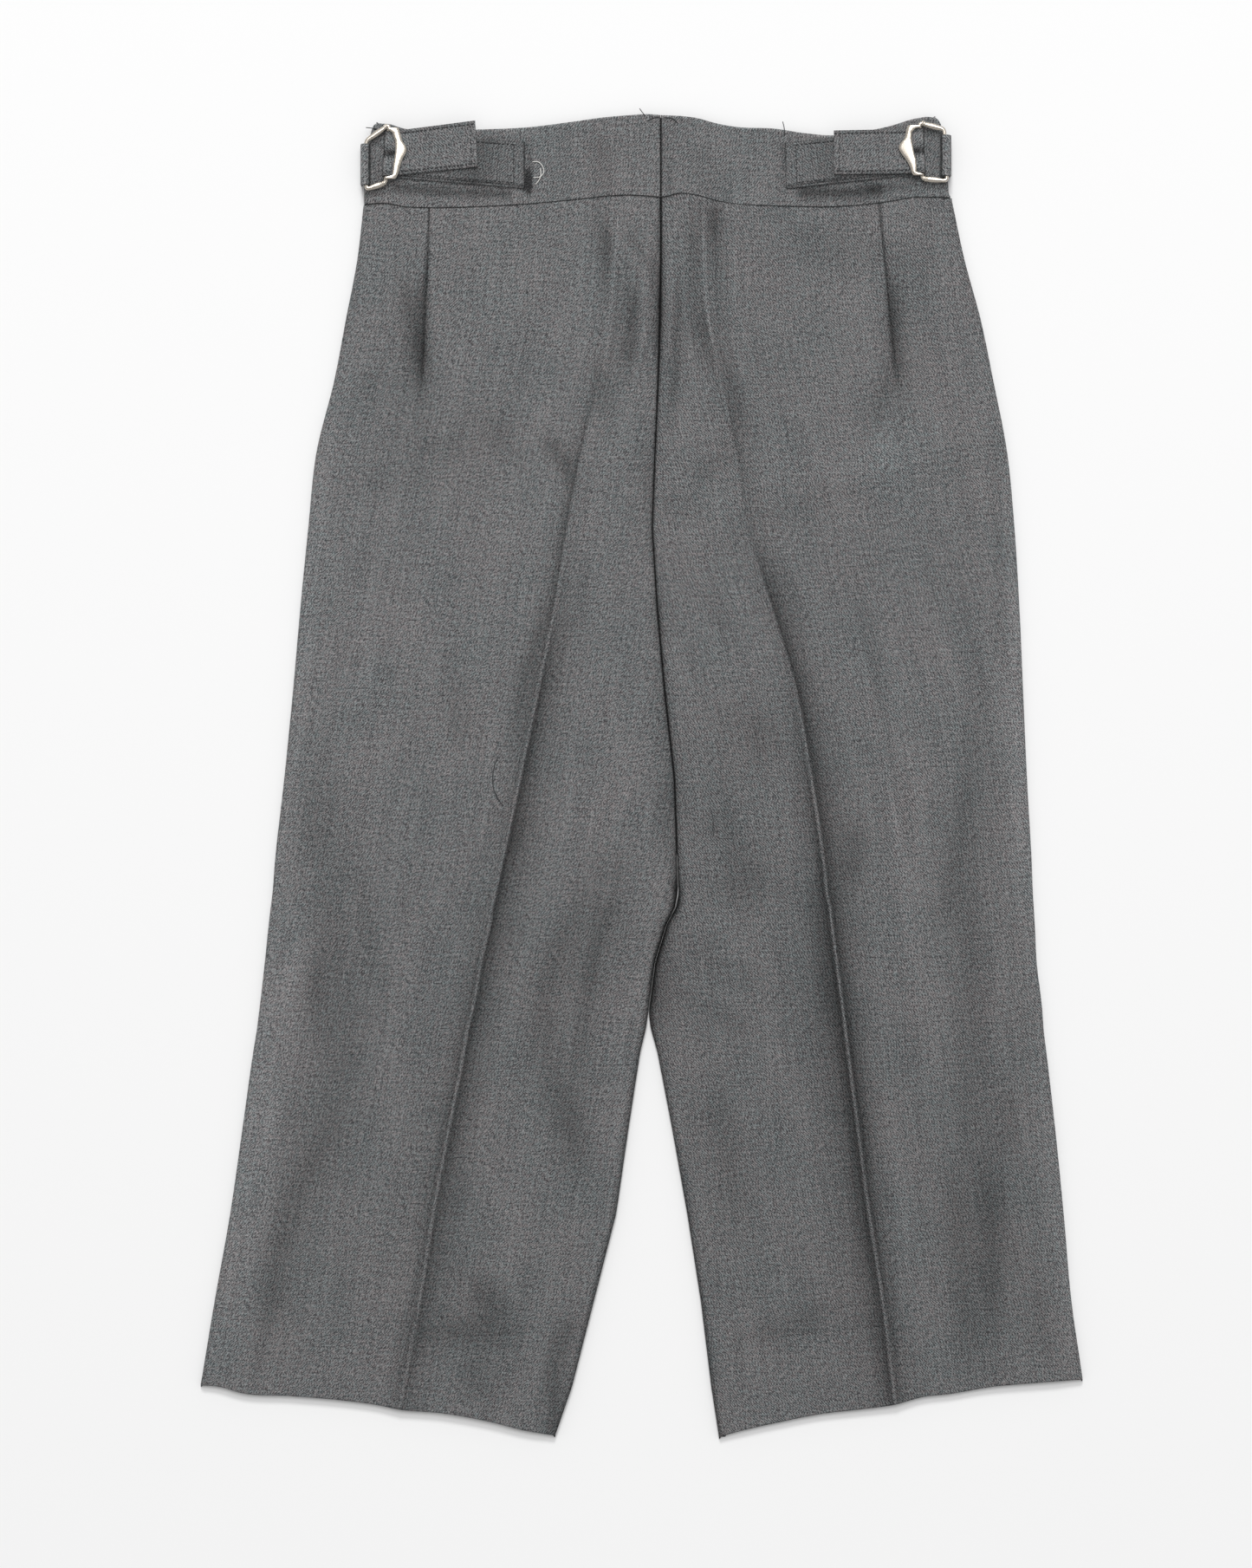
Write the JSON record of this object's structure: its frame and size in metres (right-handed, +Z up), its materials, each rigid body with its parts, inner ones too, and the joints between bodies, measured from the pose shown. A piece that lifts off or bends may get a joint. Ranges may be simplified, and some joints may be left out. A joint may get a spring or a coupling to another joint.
{
  "type": "dress trousers",
  "caption": "Grey wool twill dress trousers laid flat with the back up, with waist adjuster straps and buckles, pressed creases and straight legs.",
  "frame": {"origin": "bottom centre of the bounding box, on the surface the trousers lie on", "axes": "+Y towards the waist, +Z up from the surface, +X towards the wearer's right because the back is up"},
  "size_m": [0.4575, 0.686, 0.0096],
  "materials": {
    "wool_twill": "woven wool twill in mid grey, matt with a faint dry sheen",
    "nickel": "polished nickel plate, a little worn"
  },
  "bodies": {
    "root": {"back_left": "wool_twill", "back_right": "wool_twill", "front_left": "wool_twill", "front_right": "wool_twill", "waistband_back_left": "wool_twill", "waistband_back_right": "wool_twill", "waistband_front_left": "wool_twill", "waistband_front_right": "wool_twill", "strap_left": "wool_twill", "strap_right": "wool_twill", "strap_loop_left": "wool_twill", "strap_loop_right": "wool_twill", "buckle_frame_left": "nickel", "buckle_frame_right": "nickel", "buckle_plate_left": "nickel", "buckle_plate_right": "nickel"}
  },
  "joints": []
}
